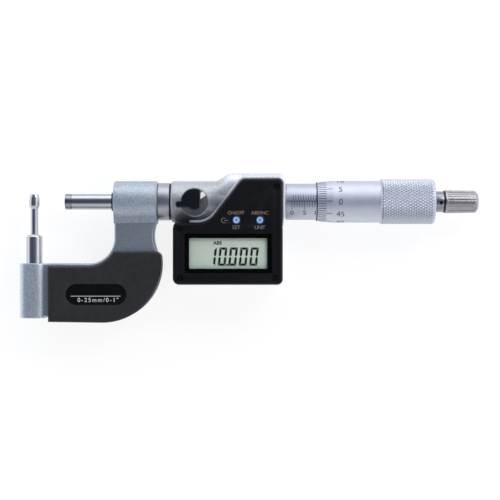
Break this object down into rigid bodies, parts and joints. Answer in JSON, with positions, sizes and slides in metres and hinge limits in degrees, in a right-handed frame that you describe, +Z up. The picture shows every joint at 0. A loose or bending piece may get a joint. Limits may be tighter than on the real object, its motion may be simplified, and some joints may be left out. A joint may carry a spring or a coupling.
{
  "type": "digital tube micrometer",
  "caption": "Digital outside micrometer with upright crowned pin anvil, C frame with grip covers, display head with keys, spindle lock, graduated sleeve, knurled thimble and ratchet stop.",
  "frame": {"origin": "on the flat back of the display housing, straight below the spindle axis at the middle of the display", "axes": "+X along the spindle from the anvil to the ratchet, +Y from the frame's arm towards the spindle, +Z up out of the display as the tool lies on its back"},
  "size_m": [0.1831, 0.0594, 0.0226],
  "materials": {
    "frame_paint": "fine speckled blue-grey baked enamel",
    "grip_plastic": "fine-grained black moulding",
    "ground_steel": "ground and lapped",
    "satin_chrome": "satin chrome plate",
    "carbide": "ground hard metal",
    "black_rubber": "moulded",
    "housing_paint": "smooth silver-grey enamel",
    "panel_plastic": "fine-grained black moulding",
    "clear_lens": "clear polished sheet",
    "lcd_glass": "grey-green reflective display",
    "circuit_board": "green laminate",
    "button_rubber": "light blue silicone",
    "black_steel": "black oxide",
    "lock_black": "polished black moulding",
    "brass": "turned",
    "battery_steel": "bright can"
  },
  "bodies": {
    "frame_body": {"adjusting_nut": "ground_steel", "anvil_pin": "ground_steel", "battery": "battery_steel", "battery_cap_seal": "black_rubber", "battery_contact": "brass", "button_mat": "black_rubber", "circuit_board": "circuit_board", "encoder_stator": "circuit_board", "frame": "frame_paint", "front_grip_cover": "grip_plastic", "front_panel": "panel_plastic", "head_housing": "housing_paint", "inner_sleeve": "ground_steel", "lcd": "lcd_glass", "lock_pad": "brass", "mounting_stem": "satin_chrome", "panel_screw_1": "black_steel", "panel_screw_2": "black_steel", "panel_screw_3": "black_steel", "panel_screw_4": "black_steel", "rear_grip_cover": "grip_plastic", "rotor_spacer": "brass", "sleeve": "satin_chrome", "spindle_wiper": "black_rubber", "stem_seal": "black_rubber", "window_lens": "clear_lens"},
    "rotor": {"encoder_rotor": "brass", "rotor_key": "ground_steel"},
    "spindle_body": {"spindle": "ground_steel", "spindle_tip": "carbide", "thimble": "satin_chrome", "ratchet_base": "satin_chrome", "ratchet_ring": "black_steel", "ratchet_clutch": "ground_steel", "ratchet_spring": "ground_steel", "ratchet_screw": "ground_steel"},
    "ratchet": {"ratchet_knob": "satin_chrome"},
    "lock": {"lock_lever": "lock_black", "lock_screw": "black_steel"},
    "power_key": {"button_power": "button_rubber"},
    "mode_key": {"button_mode": "button_rubber"},
    "battery_door": {"battery_cap": "panel_plastic"}
  },
  "joints": [
    {"name": "thimble_turn", "type": "hinge", "parent": "frame_body", "child": "rotor", "pos_m": [0, 0, 0.0105], "axis": [1, 0, 0], "range_deg": [-7200.5, 10800.5]},
    {"name": "spindle_advance", "type": "slide", "parent": "rotor", "child": "spindle_body", "axis": [1, 0, 0], "range_m": [-0.01, 0.015]},
    {"name": "ratchet_turn", "type": "hinge", "parent": "spindle_body", "child": "ratchet", "pos_m": [0.09, 0, 0.0105], "axis": [1, 0, 0], "continuous": true},
    {"name": "lock_turn", "type": "hinge", "parent": "frame_body", "child": "lock", "pos_m": [-0.0129, 0, 0.0105], "axis": [0, 0, 1], "range_deg": [-60, 0]},
    {"name": "power_key_press", "type": "slide", "parent": "frame_body", "child": "power_key", "axis": [0, 0, -1], "range_m": [0, 0.0005], "stiffness_N_per_m": 400},
    {"name": "mode_key_press", "type": "slide", "parent": "frame_body", "child": "mode_key", "axis": [0, 0, -1], "range_m": [0, 0.0005], "stiffness_N_per_m": 400},
    {"name": "battery_cap_turn", "type": "hinge", "parent": "frame_body", "child": "battery_door", "pos_m": [0, -0.0205, 0], "axis": [0, 0, 1], "range_deg": [0, 60]}
  ],
  "couplings": [
    {"joint": "thimble_turn", "follows": "spindle_advance", "rad_per_m": 12566}
  ]
}
